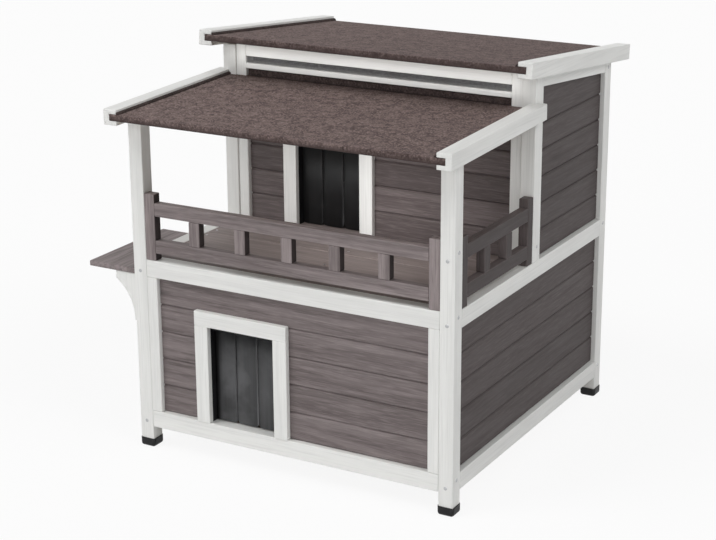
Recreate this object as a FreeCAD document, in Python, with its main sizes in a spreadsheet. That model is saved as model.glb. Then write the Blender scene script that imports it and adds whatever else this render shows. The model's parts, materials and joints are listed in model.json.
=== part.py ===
"""Two-storey outdoor cat house with a balcony, a hinged roof lid, strip curtains in both
doorways and a jump step on the left side.

Millimetres, +Z up, +X to the right seen from the front, the front looks along -Y.
The origin is the middle of the footprint (roofs and step included) at floor level.
"""
import FreeCAD, Part
import os
import re

import Sketcher
from FreeCAD import Placement, Rotation, Vector

# Driving sizes: alias, value, what it measures
SIZES = [
    ("house_width", 700, "over the corner posts, left to right"),
    ("house_depth", 704, "over the corner posts, front to back"),
    ("post_side", 30, "square frame stock of posts and rails"),
    ("stile_wide", 23, "width of the stiles beside the front posts"),
    ("rail_high", 35, "height of the horizontal rails"),
    ("foot_clear", 45, "underside of the bottom rails above the floor"),
    ("lower_panel", 281, "height of the boarding in the lower storey"),
    ("balcony_depth", 336, "front face to upper front wall"),
    ("post_proud", 3, "upper posts in front of the upper front wall"),
    ("barge_tail", 10, "balcony barge behind the face of the upper front wall"),
    ("lower_rows", 5, "boards in each lower wall"),
    ("upper_rows", 6, "boards in each upper wall"),
    ("board_thick", 12, "thickness of the wall boards"),
    ("board_inset", 10, "boards behind the outer frame face"),
    ("board_bevel", 3, "bevel that makes the V groove between boards"),
    ("cap_wall", 2, "wall of the foot caps"),
    ("cap_floor", 3, "floor of the foot caps"),
    ("cap_high", 18, "height of the foot caps"),
    ("floor_thick", 10, "lower floor panel"),
    ("floor_drop", 5, "lower floor below the top of the bottom rail"),
    ("deck_thick", 10, "deck planks"),
    ("deck_gap", 1.5, "gap between deck planks"),
    ("bearer_side", 20, "square bearers under floor and deck"),
    ("door_left", 169, "left house face to the left edge of both doorways"),
    ("door_wide", 148, "clear width of the doorways"),
    ("door_high", 200, "clear height of the doorways"),
    ("trim_wide", 30, "width of the door trim"),
    ("trim_proud", 2, "door trim in front of the frame face"),
    ("jamb_thick", 10, "thickness of the door lining"),
    ("header_high", 12, "strip header height"),
    ("header_deep", 12, "strip header depth"),
    ("strip_thick", 2, "thickness of the curtain strips"),
    ("strip_gap", 1.5, "gap between neighbouring strips"),
    ("strip_side_play", 2, "gap between the outer strips and the lining"),
    ("strip_sill_play", 3, "strip end above the sill"),
    ("strip_top_play", 0.6, "strip below its header"),
    ("railing_gap", 15, "gap under the lower railing bar"),
    ("railing_bar", 26.5, "height of the railing bars"),
    ("railing_open", 48.5, "height of the openings between the bars"),
    ("railing_rise", 17, "railing posts above the top bar"),
    ("railing_post", 23, "width of the railing end posts"),
    ("railing_deep", 20, "depth of the railing end posts"),
    ("bar_deep", 18, "depth of railing bars and balusters"),
    ("baluster_wide", 24, "width of the balusters"),
    ("railing_inset", 1, "railing behind the outer frame face"),
    ("vent_clear", 5, "vent rail above the rear end of the balcony barge"),
    ("vent_rail", 11.5, "rail under the vent slot"),
    ("vent_slot", 14, "height of the vent slot under the roof lid"),
    ("barge_wide", 30, "width of the grooved barge battens"),
    ("barge_high", 31, "height of the grooved barge battens"),
    ("barge_lip", 9, "lower lip of the barge groove"),
    ("groove_deep", 17, "depth of the barge groove"),
    ("barge_out", 17, "barge battens outside the posts"),
    ("panel_thick", 10, "roof panels"),
    ("felt_thick", 2.5, "mineral felt on the roof panels"),
    ("felt_play", 0.5, "felt under the upper barge lip"),
    ("panel_play", 0.5, "panel edge to the bottom of the groove"),
    ("front_overhang", 52, "balcony roof in front of the house front"),
    ("balcony_slope", 1.2, "fall of the balcony roof to the front, degrees"),
    ("balcony_clear", 274.5, "front underside of the balcony barge above the deck"),
    ("beam_high", 14, "beam and ledger under the balcony roof"),
    ("beam_deep", 18, "depth of beam and ledger"),
    ("lid_overhang", 65, "roof lid in front of the upper wall"),
    ("rear_overhang", 58, "roof lid behind the back posts"),
    ("lid_slope", 5.6, "fall of the roof lid to the back, degrees"),
    ("lid_rise", 98, "front underside of the lid barge above that of the balcony barge"),
    ("lid_seat", 0.3, "lid barge above the side rails"),
    ("lid_wall_gap", 2, "walls below the lid panel"),
    ("top_rail_high", 22, "sloped rail on the upper side walls"),
    ("batten_high", 20, "stiffening batten under the lid"),
    ("batten_deep", 18, "depth of that batten"),
    ("batten_play", 4, "batten to the walls around it"),
    ("hinge_apart", 400, "between the two hinge centres"),
    ("hinge_long", 50, "length of each hinge"),
    ("hinge_middle", 24, "length of the lid's knuckle"),
    ("hinge_play", 0.3, "gap between knuckles and to the back wall"),
    ("knuckle_radius", 3, "outer radius of the knuckles"),
    ("pin_radius", 1.6, "hinge pin"),
    ("pin_play", 0.05, "radial play of the hinge pin"),
    ("leaf_thick", 1.5, "hinge leaves"),
    ("leaf_wide", 18, "hinge leaf from the knuckle axis to its edge"),
    ("leaf_relief", 3.6, "leaf cut back beside the other leaf's knuckle"),
    ("step_reach", 112, "jump step beyond the left posts"),
    ("step_long", 250, "jump step, front to back"),
    ("step_front", 4, "jump step behind the house front"),
    ("step_thick", 11, "jump step board"),
    ("bracket_thick", 18, "thickness of the step brackets"),
    ("bracket_reach", 50, "bracket under the step"),
    ("bracket_drop", 98, "height of the bracket"),
    ("bracket_nose", 16, "straight end of the bracket under the step"),
    ("bracket_toe", 8, "thickness of the bracket at its lower end"),
    ("bracket_curve", 95, "radius of the hollow bracket edge"),
    ("bracket_edge", 2, "bracket to the ends of the step"),
    ("screw_head", 3.6, "radius of the screw heads"),
    ("screw_proud", 1.2, "height of the screw heads"),
    ("screw_shank", 1.9, "radius of the screw shanks"),
    ("screw_grip", 12, "shank beyond the post"),
    ("screw_stagger", 7, "screw above or below the middle of its rail"),
    ("screw_low", 30, "lower screw of the upper posts above the deck"),
    ("screw_rise", 260, "between the two screws of an upper post"),
]
FRONT_BALUSTERS = 5
SIDE_BALUSTERS = 2
STRIPS = 3
DECK_PLANKS = 7
UPPER_SCREWS = 2

doc = FreeCAD.newDocument("CatHouse")
sheet = doc.addObject("Spreadsheet::Sheet", "Sizes")
for row, (alias, value, meaning) in enumerate(SIZES, start=1):
    sheet.set(f"A{row}", meaning)
    sheet.set(f"B{row}", str(value))
    sheet.setAlias(f"B{row}", alias)
doc.recompute()

ROWS = {alias: value for alias, value, meaning in SIZES}
nodes = []


def formula(text):
    """Turn plain size names into references to the sheet."""
    return re.sub(
        r"[a-z_]+",
        lambda word: f"Sizes.{word.group(0)}" if word.group(0) in ROWS else word.group(0),
        str(text),
    )


def bind(obj, **formulas):
    for name, text in formulas.items():
        obj.setExpression(name.replace("__", "."), formula(text))


def place(obj, x, y, z):
    bind(obj, Placement__Base__x=x, Placement__Base__y=y, Placement__Base__z=z)


# Places that many pieces share, written with the sheet's names
CENTRE = "((step_reach - barge_out) / 2)"
LEFT = f"({CENTRE} - house_width / 2)"
RIGHT = f"({CENTRE} + house_width / 2)"
FRONT = "((front_overhang - house_depth - rear_overhang) / 2)"
BACK = f"({FRONT} + house_depth)"
WALL = f"({FRONT} + balcony_depth)"
UPPER_POST_Y = f"({WALL} - post_proud)"
INNER_LEFT = f"({LEFT} + post_side)"
INNER_RIGHT = f"({RIGHT} - post_side)"
INNER_FRONT = f"({FRONT} + post_side)"
INNER_BACK = f"({BACK} - post_side)"
INNER_WALL = f"({WALL} + post_side)"
INNER_WIDTH = "(house_width - 2 * post_side)"
INNER_DEPTH = "(house_depth - 2 * post_side)"
PANEL_Z = "(foot_clear + rail_high)"
MID_Z = "(foot_clear + rail_high + lower_panel)"
DECK_Z = "(foot_clear + 2 * rail_high + lower_panel)"
STEP_Z = MID_Z
LOWER_PITCH = "(lower_panel / lower_rows)"
DOOR_X = f"({LEFT} + door_left)"
GROOVE_HIGH = "(panel_thick + felt_thick + felt_play)"
ROOF_LEFT = f"({LEFT} - barge_out)"
ROOF_RIGHT = f"({RIGHT} + barge_out)"
PANEL_LEFT = f"({ROOF_LEFT} + barge_wide - groove_deep + panel_play)"
PANEL_WIDTH = "(house_width + 2 * (barge_out - barge_wide + groove_deep - panel_play))"
LIP_LEFT = f"({ROOF_LEFT} + barge_wide)"
LIP_WIDTH = "(house_width + 2 * (barge_out - barge_wide))"

# A roof has its own directions: along its slope from its front end, and square to it
LID = {
    "y": f"({WALL} - lid_overhang)",
    "z": f"({DECK_Z} + balcony_clear + lid_rise)",
    "axis": Vector(-1, 0, 0),
    "slope": "lid_slope",
    "fall": "-1",
    "length": (
        "((house_depth - balcony_depth + lid_overhang + rear_overhang"
        " - barge_high * sin(lid_slope)) / cos(lid_slope))"
    ),
}
BALCONY = {
    "y": f"({FRONT} - front_overhang + barge_high * sin(balcony_slope))",
    "z": f"({DECK_Z} + balcony_clear)",
    "axis": Vector(1, 0, 0),
    "slope": "balcony_slope",
    "fall": "1",
    "length": (
        "((balcony_depth + front_overhang - barge_high * sin(balcony_slope))"
        " / cos(balcony_slope))"
    ),
}


def box(label, x, y, z):
    """A square-cut piece: x, y and z are pairs of start and size."""
    piece = doc.addObject("Part::Box", label)
    piece.Label = label
    bind(piece, Length=x[1], Width=y[1], Height=z[1])
    place(piece, x[0], y[0], z[0])
    return piece


def roof_point(roof, along, above):
    """Height and depth of a point given along the slope and square to it."""
    y = f"({roof['y']} + ({along}) * cos({roof['slope']})"
    y += f" - {roof['fall']} * ({above}) * sin({roof['slope']}))"
    z = f"({roof['z']} + {roof['fall']} * ({along}) * sin({roof['slope']})"
    z += f" + ({above}) * cos({roof['slope']}))"
    return y, z


# The upper front wall reaches to just above the balcony roof, then come vent and head rail
VENT_Z = f"({roof_point(BALCONY, BALCONY['length'], 'barge_high')[1]} + vent_clear)"
HEAD_Z = f"({VENT_Z} + vent_rail + vent_slot)"
UPPER_PITCH = f"(({VENT_Z} - {DECK_Z}) / upper_rows)"


def roof_box(label, roof, x, along, above):
    """A square-cut piece that lies in the slope of a roof."""
    piece = doc.addObject("Part::Box", label)
    piece.Label = label
    bind(piece, Length=x[1], Width=along[1], Height=above[1])
    piece.Placement = Placement(Vector(), Rotation(roof["axis"], ROWS[roof["slope"]]))
    y, z = roof_point(roof, along[0], above[0])
    place(piece, x[0], y, z)
    bind(piece, Placement__Rotation__Angle=roof["slope"])
    return piece


def rod(label, x, y, z, radius, length):
    """A round piece along X."""
    piece = doc.addObject("Part::Cylinder", label)
    piece.Label = label
    bind(piece, Radius=radius, Height=length)
    piece.Placement = Placement(Vector(), Rotation(Vector(0, 1, 0), 90))
    place(piece, x, y, z)
    return piece


def cut(label, base, tool):
    piece = doc.addObject("Part::Cut", label)
    piece.Label = label
    piece.Base = base
    piece.Tool = tool
    return piece


def common(label, base, tool):
    piece = doc.addObject("Part::Common", label)
    piece.Label = label
    piece.Base = base
    piece.Tool = tool
    return piece


def fuse(label, pieces):
    piece = doc.addObject("Part::MultiFuse", label)
    piece.Label = label
    piece.Shapes = pieces
    return piece


def node(piece):
    """Keep a single piece as a named sub-part."""
    nodes.append(piece)
    return piece


def group(label, pieces):
    """Keep like pieces together as one named sub-part of separate solids."""
    piece = doc.addObject("Part::Compound", label)
    piece.Label = label
    piece.Links = pieces
    return node(piece)


def new_sketch(body, role):
    plane = [part for part in body.Origin.OriginFeatures if part.Role == role][0]
    sketch = body.newObject("Sketcher::SketchObject", f"{body.Name}Sketch")
    sketch.AttachmentSupport = (plane, [""])
    sketch.MapMode = "FlatFace"
    return sketch


def join_corners(sketch, count):
    for edge in range(count):
        sketch.addConstraint(Sketcher.Constraint("Coincident", edge, 2, (edge + 1) % count, 1))


def dimension(sketch, kind, name, edge, end, text, value):
    """A named distance from the sketch origin, bound to the sheet."""
    index = sketch.addConstraint(Sketcher.Constraint(kind, -1, 1, edge, end, value))
    sketch.renameConstraint(index, name)
    sketch.setExpression(f"Constraints.{name}", formula(text))


# The walls: outer board face, run direction and turn about Z of a board drawn for the front
WALLS = {
    "front": {"turn": 0, "x": None, "y": f"({FRONT} + board_inset)"},
    "wall": {"turn": 0, "x": None, "y": f"({WALL} + board_inset)"},
    "back": {"turn": 180, "x": None, "y": f"({BACK} - board_inset)"},
    "right": {"turn": 90, "x": f"({RIGHT} - board_inset)", "y": None},
    "left": {"turn": -90, "x": f"({LEFT} + board_inset)", "y": None},
}


def board(label, wall, start, length, z, height):
    """One wall board with bevelled outer edges, run from start over length."""
    side = WALLS[wall]
    body = doc.addObject("PartDesign::Body", label)
    body.Label = label
    sketch = new_sketch(body, "YZ_Plane")
    deep, tall, bevel = ROWS["board_thick"], 50.0, ROWS["board_bevel"]
    corners = [
        Vector(bevel, 0),
        Vector(deep, 0),
        Vector(deep, tall),
        Vector(bevel, tall),
        Vector(0, tall - bevel),
        Vector(0, bevel),
    ]
    for edge, corner in enumerate(corners):
        sketch.addGeometry(Part.LineSegment(corner, corners[(edge + 1) % len(corners)]))
    join_corners(sketch, len(corners))
    for kind, edge in (("Horizontal", 0), ("Vertical", 1), ("Horizontal", 2), ("Vertical", 4)):
        sketch.addConstraint(Sketcher.Constraint(kind, edge))
    sketch.addConstraint(Sketcher.Constraint("PointOnObject", 0, 1, -1))
    sketch.addConstraint(Sketcher.Constraint("PointOnObject", 4, 1, -2))
    dimension(sketch, "DistanceX", "deep", 1, 1, "board_thick", deep)
    dimension(sketch, "DistanceY", "tall", 2, 1, height, tall)
    dimension(sketch, "DistanceX", "bevel_low", 0, 1, "board_bevel", bevel)
    dimension(sketch, "DistanceX", "bevel_high", 2, 2, "board_bevel", bevel)
    dimension(sketch, "DistanceY", "edge_low", 4, 2, "board_bevel", bevel)
    dimension(sketch, "DistanceY", "edge_high", 4, 1, f"{height} - board_bevel", tall - bevel)
    pad = body.newObject("PartDesign::Pad", f"{label}Pad")
    pad.Profile = sketch
    bind(pad, Length=length)
    body.Placement = Placement(Vector(), Rotation(Vector(0, 0, 1), side["turn"]))
    begin = f"({start} + {length})" if side["turn"] in (180, -90) else start
    place(body, side["x"] or begin, side["y"] or begin, z)
    return body


def board_rows(wall, name, rows, start, length, base_z, pitch):
    return [
        board(f"{name}_row_{row + 1}", wall, start, length, f"({base_z} + {row} * {pitch})", pitch)
        for row in range(rows)
    ]


def doorway_hole(name, y, base_z, pitch):
    """What the boards leave out for a lined doorway, up to the next board joint."""
    return box(
        f"{name}_hole",
        (f"({DOOR_X} - jamb_thick)", "(door_wide + 2 * jamb_thick)"),
        (y, "post_side"),
        (base_z, f"(ceil(door_high / {pitch}) * {pitch})"),
    )


# Corner posts, foot caps and the sloped cuts at the post heads
def under_roof(label, roof, above):
    """Everything above a line square to the slope, used to trim post heads and walls."""
    return roof_box(
        label,
        roof,
        (f"({LEFT} - post_side)", "(house_width + 2 * post_side)"),
        ("(-post_side)", f"({roof['length']} + 2 * post_side)"),
        (above, LID["z"]),
    )


def up_to_roof(base_z):
    """Height of a blank that reaches past the roof line it is trimmed to."""
    return f"({LID['z']} + rail_high - {base_z})"


def corner_post(label, x, y, base_z, roof_cut):
    blank = box(f"{label}_blank", (x, "post_side"), y, (base_z, up_to_roof(base_z)))
    return cut(label, blank, roof_cut)


def make_posts():
    balcony_cut = under_roof("balcony_post_cut", BALCONY, "0")
    lid_cut = under_roof("lid_post_cut", LID, "(-lid_seat)")
    corners = {
        "front_left": (LEFT, FRONT, balcony_cut),
        "front_right": (INNER_RIGHT, FRONT, balcony_cut),
        "back_left": (LEFT, INNER_BACK, lid_cut),
        "back_right": (INNER_RIGHT, INNER_BACK, lid_cut),
    }
    caps = []
    for name, (x, y, roof_cut) in corners.items():
        node(corner_post(f"{name}_post", x, (y, "post_side"), "cap_floor", roof_cut))
        side = "(post_side + 2 * cap_wall)"
        shell = box(f"{name}_cap_shell", (f"({x} - cap_wall)", side), (f"({y} - cap_wall)", side),
                    ("0", "cap_high"))
        hollow = box(f"{name}_cap_hollow", (x, "post_side"), (y, "post_side"), ("cap_floor", "cap_high"))
        caps.append(cut(f"{name}_cap", shell, hollow))
    group("foot_caps", caps)
    upper_y = (UPPER_POST_Y, "(post_side + post_proud)")
    group("upper_posts", [
        corner_post("upper_left_post", LEFT, upper_y, DECK_Z, lid_cut),
        corner_post("upper_right_post", INNER_RIGHT, upper_y, DECK_Z, lid_cut),
    ])


# Horizontal rails between the corner posts and the stiles of the two front walls
def make_rails():
    for name, z in (("bottom", "foot_clear"), ("mid", MID_Z)):
        for side, y in (("front", FRONT), ("back", INNER_BACK)):
            node(box(f"{side}_{name}_rail", (INNER_LEFT, INNER_WIDTH), (y, "post_side"), (z, "rail_high")))
        for side, x in (("left", LEFT), ("right", INNER_RIGHT)):
            node(box(f"{side}_{name}_rail", (x, "post_side"), (INNER_FRONT, INNER_DEPTH), (z, "rail_high")))
    stile_xs = {"left": INNER_LEFT, "right": f"({INNER_RIGHT} - stile_wide)"}
    group("front_stiles", [
        box(f"front_{side}_stile", (x, "stile_wide"), (FRONT, "post_side"), (PANEL_Z, "lower_panel"))
        for side, x in stile_xs.items()
    ])
    wall_cut = under_roof("wall_top_cut", LID, "(barge_lip - lid_wall_gap)")
    group("upper_front_stiles", [
        cut(f"upper_{side}_stile",
            box(f"upper_{side}_stile_blank", (x, "stile_wide"), (WALL, "post_side"),
                (DECK_Z, up_to_roof(DECK_Z))),
            wall_cut)
        for side, x in stile_xs.items()
    ])
    between = (f"({INNER_LEFT} + stile_wide)", f"({INNER_WIDTH} - 2 * stile_wide)")
    node(box("vent_rail_bar", between, (WALL, "post_side"), (VENT_Z, "vent_rail")))
    head = box("head_rail_blank", between, (WALL, "post_side"), (HEAD_Z, up_to_roof(HEAD_Z)))
    node(cut("head_rail", head, wall_cut))
    back_top = box("back_top_blank", (INNER_LEFT, INNER_WIDTH), (INNER_BACK, "post_side"),
                   (back_rail_z(), "(2 * rail_high)"))
    node(cut("back_top_rail", back_top, wall_cut))
    slope_rail = roof_box("side_rail_slope", LID, (LEFT, "house_width"), ("0", LID["length"]),
                          ("(-lid_seat - top_rail_high)", "top_rail_high"))
    group("side_top_rails", [
        common(f"{side}_top_rail",
               box(f"{side}_top_blank", (x, "post_side"), (INNER_WALL, upper_side_length()),
                   (DECK_Z, up_to_roof(DECK_Z))),
               slope_rail)
        for side, x in (("left", LEFT), ("right", INNER_RIGHT))
    ])


def back_rail_z():
    """Underside of the back top rail, one rail height under its lowest upper edge."""
    y, z = roof_point(LID, "((house_depth - balcony_depth + lid_overhang) / cos(lid_slope))",
                      "(barge_lip - lid_wall_gap)")
    return f"({z} - rail_high)"


def upper_side_length():
    return "(house_depth - balcony_depth - 2 * post_side)"


# Boarding of the eight walls
def make_boards():
    lower_rows = ROWS["lower_rows"]
    upper_rows = ROWS["upper_rows"]
    across = (f"({INNER_LEFT} + stile_wide)", f"({INNER_WIDTH} - 2 * stile_wide)")
    for wall, name, rows, y, base_z, pitch in (
        ("front", "front_boards", lower_rows, FRONT, PANEL_Z, LOWER_PITCH),
        ("wall", "upper_front_boards", upper_rows, WALL, DECK_Z, UPPER_PITCH),
    ):
        hole = doorway_hole(name, y, base_z, pitch)
        whole = board_rows(wall, name, rows, across[0], across[1], base_z, pitch)
        group(name, [cut(f"{piece.Label}_trimmed", piece, hole) for piece in whole])
    for side in ("left", "right"):
        group(f"{side}_boards", board_rows(side, f"{side}_boards", lower_rows, INNER_FRONT, INNER_DEPTH,
                                           PANEL_Z, LOWER_PITCH))
    group("back_boards", board_rows("back", "back_boards", lower_rows, INNER_LEFT, INNER_WIDTH,
                                    PANEL_Z, LOWER_PITCH))
    back_pitch = f"(({back_rail_z()} - {DECK_Z}) / upper_rows)"
    group("upper_back_boards", board_rows("back", "upper_back_boards", upper_rows, INNER_LEFT, INNER_WIDTH,
                                          DECK_Z, back_pitch))
    slope_cut = under_roof("side_board_cut", LID, "(-lid_seat - top_rail_high)")
    for side in ("left", "right"):
        name = f"upper_{side}_boards"
        rows = board_rows(side, name, upper_rows - 1, INNER_WALL, upper_side_length(), DECK_Z, UPPER_PITCH)
        top_z = f"({DECK_Z} + (upper_rows - 1) * {UPPER_PITCH})"
        top = board(f"{name}_top", side, INNER_WALL, upper_side_length(), top_z, f"(2 * {UPPER_PITCH})")
        group(name, rows + [cut(f"{name}_top_trimmed", top, slope_cut)])


# Lower floor, deck and their bearers
def make_floors():
    floor_z = f"({PANEL_Z} - floor_drop - floor_thick)"
    deck_under = f"({DECK_Z} - deck_thick - bearer_side)"
    ends = {"front": INNER_FRONT, "middle": f"({WALL} + (post_side - bearer_side) / 2)",
            "back": f"({INNER_BACK} - bearer_side)"}
    group("floor_bearers", [
        box(f"floor_bearer_{name}", (INNER_LEFT, INNER_WIDTH), (y, "bearer_side"),
            (f"({floor_z} - bearer_side)", "bearer_side"))
        for name, y in ends.items()
    ])
    node(box("floor_panel", (INNER_LEFT, INNER_WIDTH), (INNER_FRONT, INNER_DEPTH), (floor_z, "floor_thick")))
    sides = {"left": INNER_LEFT, "middle": f"({INNER_LEFT} + ({INNER_WIDTH} - bearer_side) / 2)",
             "right": f"({INNER_RIGHT} - bearer_side)"}
    group("deck_bearers", [
        box(f"deck_bearer_{name}", (x, "bearer_side"), (INNER_FRONT, INNER_DEPTH), (deck_under, "bearer_side"))
        for name, x in sides.items()
    ])
    plank = f"(({INNER_DEPTH} - {DECK_PLANKS - 1} * deck_gap) / {DECK_PLANKS})"
    group("deck_planks", [
        box(f"deck_plank_{index + 1}", (INNER_LEFT, INNER_WIDTH),
            (f"({INNER_FRONT} + {index} * ({plank} + deck_gap))", plank),
            (f"({DECK_Z} - deck_thick)", "deck_thick"))
        for index in range(DECK_PLANKS)
    ])


# Doorways: trim outside, lining through the wall, header and hanging strips
def make_doorway(name, y, base_z, pitch):
    top = f"({base_z} + door_high)"
    face = (f"({y} - trim_proud)", "(board_inset + trim_proud)")
    trim_left = f"({DOOR_X} - trim_wide)"
    door_right = f"({DOOR_X} + door_wide)"
    group(f"{name}_door_trim", [
        box(f"{name}_trim_left", (trim_left, "trim_wide"), face, (base_z, "door_high")),
        box(f"{name}_trim_right", (door_right, "trim_wide"), face, (base_z, "door_high")),
        box(f"{name}_trim_head", (trim_left, "(door_wide + 2 * trim_wide)"), face, (top, "trim_wide")),
    ])
    through = (f"({y} + board_inset)", "(post_side - board_inset)")
    board_top = f"(ceil(door_high / {pitch}) * {pitch})"
    group(f"{name}_door_lining", [
        box(f"{name}_jamb_left", (f"({DOOR_X} - jamb_thick)", "jamb_thick"), through, (base_z, board_top)),
        box(f"{name}_jamb_right", (door_right, "jamb_thick"), through, (base_z, board_top)),
        box(f"{name}_lining_head", (DOOR_X, "door_wide"), through, (top, f"({board_top} - door_high)")),
    ])
    header_y = f"({y} + post_side - header_deep)"
    strip_top = f"({top} - header_high - strip_top_play)"
    strip_wide = f"((door_wide - 2 * strip_side_play - {STRIPS - 1} * strip_gap) / {STRIPS})"
    strip_z = f"({base_z} + strip_sill_play)"
    for index in range(STRIPS):
        node(box(f"{name}_strip_{index + 1}",
                 (f"({DOOR_X} + strip_side_play + {index} * ({strip_wide} + strip_gap))", strip_wide),
                 (f"({header_y} + (header_deep - strip_thick) / 2)", "strip_thick"),
                 (strip_z, f"({strip_top} - {strip_z})")))
    return box(f"{name}_strip_header", (DOOR_X, "door_wide"), (header_y, "header_deep"),
               (f"({top} - header_high)", "header_high"))


def make_doorways():
    group("strip_headers", [
        make_doorway("lower", FRONT, PANEL_Z, LOWER_PITCH),
        make_doorway("upper", WALL, DECK_Z, UPPER_PITCH),
    ])


# Balcony railings: end posts on the rails, two bars and balusters between them
def make_railing(label, along, start, length, across, balusters):
    """A railing along X or Y: across gives the outer face and the inward direction."""
    face, inward = across
    bar_z = f"({DECK_Z} + railing_gap)"
    open_z = f"({bar_z} + railing_bar)"
    top_z = f"({open_z} + railing_open)"
    post_high = "(railing_gap + 2 * railing_bar + railing_open + railing_rise)"
    clear = f"({length} - 2 * railing_post)"
    opening = f"(({clear} - {balusters} * baluster_wide) / {balusters + 1})"

    def member(name, run, deep, z):
        depth = (face if inward > 0 else f"({face} - {deep})", deep)
        spans = (run, depth) if along == "x" else (depth, run)
        return box(f"{label}_{name}", spans[0], spans[1], z)

    bar_run = (f"({start} + railing_post)", clear)
    pieces = [
        member("post_1", (start, "railing_post"), "railing_deep", (DECK_Z, post_high)),
        member("post_2", (f"({start} + {length} - railing_post)", "railing_post"), "railing_deep",
               (DECK_Z, post_high)),
        member("low_bar", bar_run, "bar_deep", (bar_z, "railing_bar")),
        member("top_bar", bar_run, "bar_deep", (top_z, "railing_bar")),
    ]
    for index in range(balusters):
        run = (f"({start} + railing_post + {opening} + {index} * ({opening} + baluster_wide))",
               "baluster_wide")
        pieces.append(member(f"baluster_{index + 1}", run, "bar_deep", (open_z, "railing_open")))
    group(label, pieces)


def make_railings():
    """Railings at the front and on the right. The left side is open towards the jump step."""
    make_railing("front_railing", "x", INNER_LEFT, INNER_WIDTH, (f"({FRONT} + railing_inset)", 1),
                 FRONT_BALUSTERS)
    side = "(balcony_depth - post_side - post_proud)"
    make_railing("right_railing", "y", INNER_FRONT, side, (f"({RIGHT} - railing_inset)", -1), SIDE_BALUSTERS)


# Roofs: panel and felt held in the grooves of the two barge battens
def make_roof(label, roof, barge_length, panel_notch=None, barge_notch=None):
    """The notches are what the balcony roof leaves out for the upper posts."""
    felt_low = "(barge_lip + panel_thick)"
    panel = roof_box(f"{label}_panel_board", roof, (PANEL_LEFT, PANEL_WIDTH),
                     ("felt_thick", f"({roof['length']} - felt_thick)"), ("barge_lip", "panel_thick"))
    node(notched(f"{label}_panel", panel, panel_notch))
    sheet_piece = roof_box(f"{label}_felt_sheet", roof, (PANEL_LEFT, PANEL_WIDTH),
                           ("0", roof["length"]), (felt_low, "felt_thick"))
    apron = roof_box(f"{label}_felt_apron", roof, (PANEL_LEFT, PANEL_WIDTH),
                     ("0", "felt_thick"), ("barge_lip", "panel_thick"))
    felt = fuse(f"{label}_felt_folded", [sheet_piece, apron])
    node(notched(f"{label}_felt", felt, panel_notch))
    barges = []
    groove_x = {"left": f"({ROOF_LEFT} + barge_wide - groove_deep)", "right": f"({ROOF_RIGHT} - barge_wide)"}
    blank_x = {"left": ROOF_LEFT, "right": f"({ROOF_RIGHT} - barge_wide)"}
    for side in ("left", "right"):
        blank = roof_box(f"{label}_{side}_barge_blank", roof, (blank_x[side], "barge_wide"),
                         ("0", barge_length), ("0", "barge_high"))
        groove = roof_box(f"{label}_{side}_groove", roof, (groove_x[side], "groove_deep"),
                          ("0", barge_length), ("barge_lip", GROOVE_HIGH))
        barge = cut(f"{label}_{side}_grooved", blank, groove)
        barges.append(notched(f"{label}_{side}_barge", barge, barge_notch))
    group(f"{label}_barges", barges)


def notched(label, piece, notch):
    """The piece without the notch, or the piece itself under its final name."""
    if notch:
        return cut(label, piece, notch)
    piece.Label = label
    return piece


def make_balcony_roof():
    behind = (UPPER_POST_Y, "(post_side + post_proud + barge_tail)")
    tall = (DECK_Z, LID["z"])
    panel_notch = fuse("balcony_panel_notch", [
        box("panel_notch_left", (ROOF_LEFT, "(barge_out + post_side)"), behind, tall),
        box("panel_notch_right", (INNER_RIGHT, "(barge_out + post_side)"), behind, tall),
    ])
    barge_notch = box("balcony_barge_notch", (LEFT, "house_width"), behind, tall)
    make_roof("balcony_roof", BALCONY, f"({BALCONY['length']} + barge_tail)", panel_notch, barge_notch)
    low = ("(barge_lip - beam_high)", "beam_high")
    beam = roof_box("balcony_front_beam", BALCONY, (INNER_LEFT, INNER_WIDTH),
                    ("(front_overhang / cos(balcony_slope))", "beam_deep"), low)
    ledger = roof_box("balcony_ledger", BALCONY, (INNER_LEFT, INNER_WIDTH),
                      (f"({BALCONY['length']} - beam_deep - beam_high * tan(balcony_slope))", "beam_deep"), low)
    group("balcony_roof_beams", [beam, ledger])


# Hinged roof lid
def hinge_axis():
    """The hinge line behind the back wall: along the lid's slope, then depth and height."""
    above = "(-knuckle_radius)"
    along = "((house_depth - balcony_depth + lid_overhang + hinge_play + knuckle_radius"
    along += " + knuckle_radius * sin(lid_slope)) / cos(lid_slope))"
    y, z = roof_point(LID, along, above)
    return along, y, z


def make_lid():
    make_roof("lid", LID, LID["length"])
    along, axis_y, axis_z = hinge_axis()
    front_batten = roof_box(
        "lid_front_batten", LID,
        (f"({INNER_LEFT} + batten_play)", f"({INNER_WIDTH} - 2 * batten_play)"),
        ("((lid_overhang + post_side + batten_play) / cos(lid_slope))", "batten_deep"),
        ("(barge_lip - batten_high)", "batten_high"))
    rear_batten = roof_box(
        "lid_rear_batten", LID, (LIP_LEFT, LIP_WIDTH),
        (f"({along} + hinge_play)", f"({LID['length']} - {along} - hinge_play)"),
        ("0", "barge_lip"))
    group("lid_battens", [front_batten, rear_batten])


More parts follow.
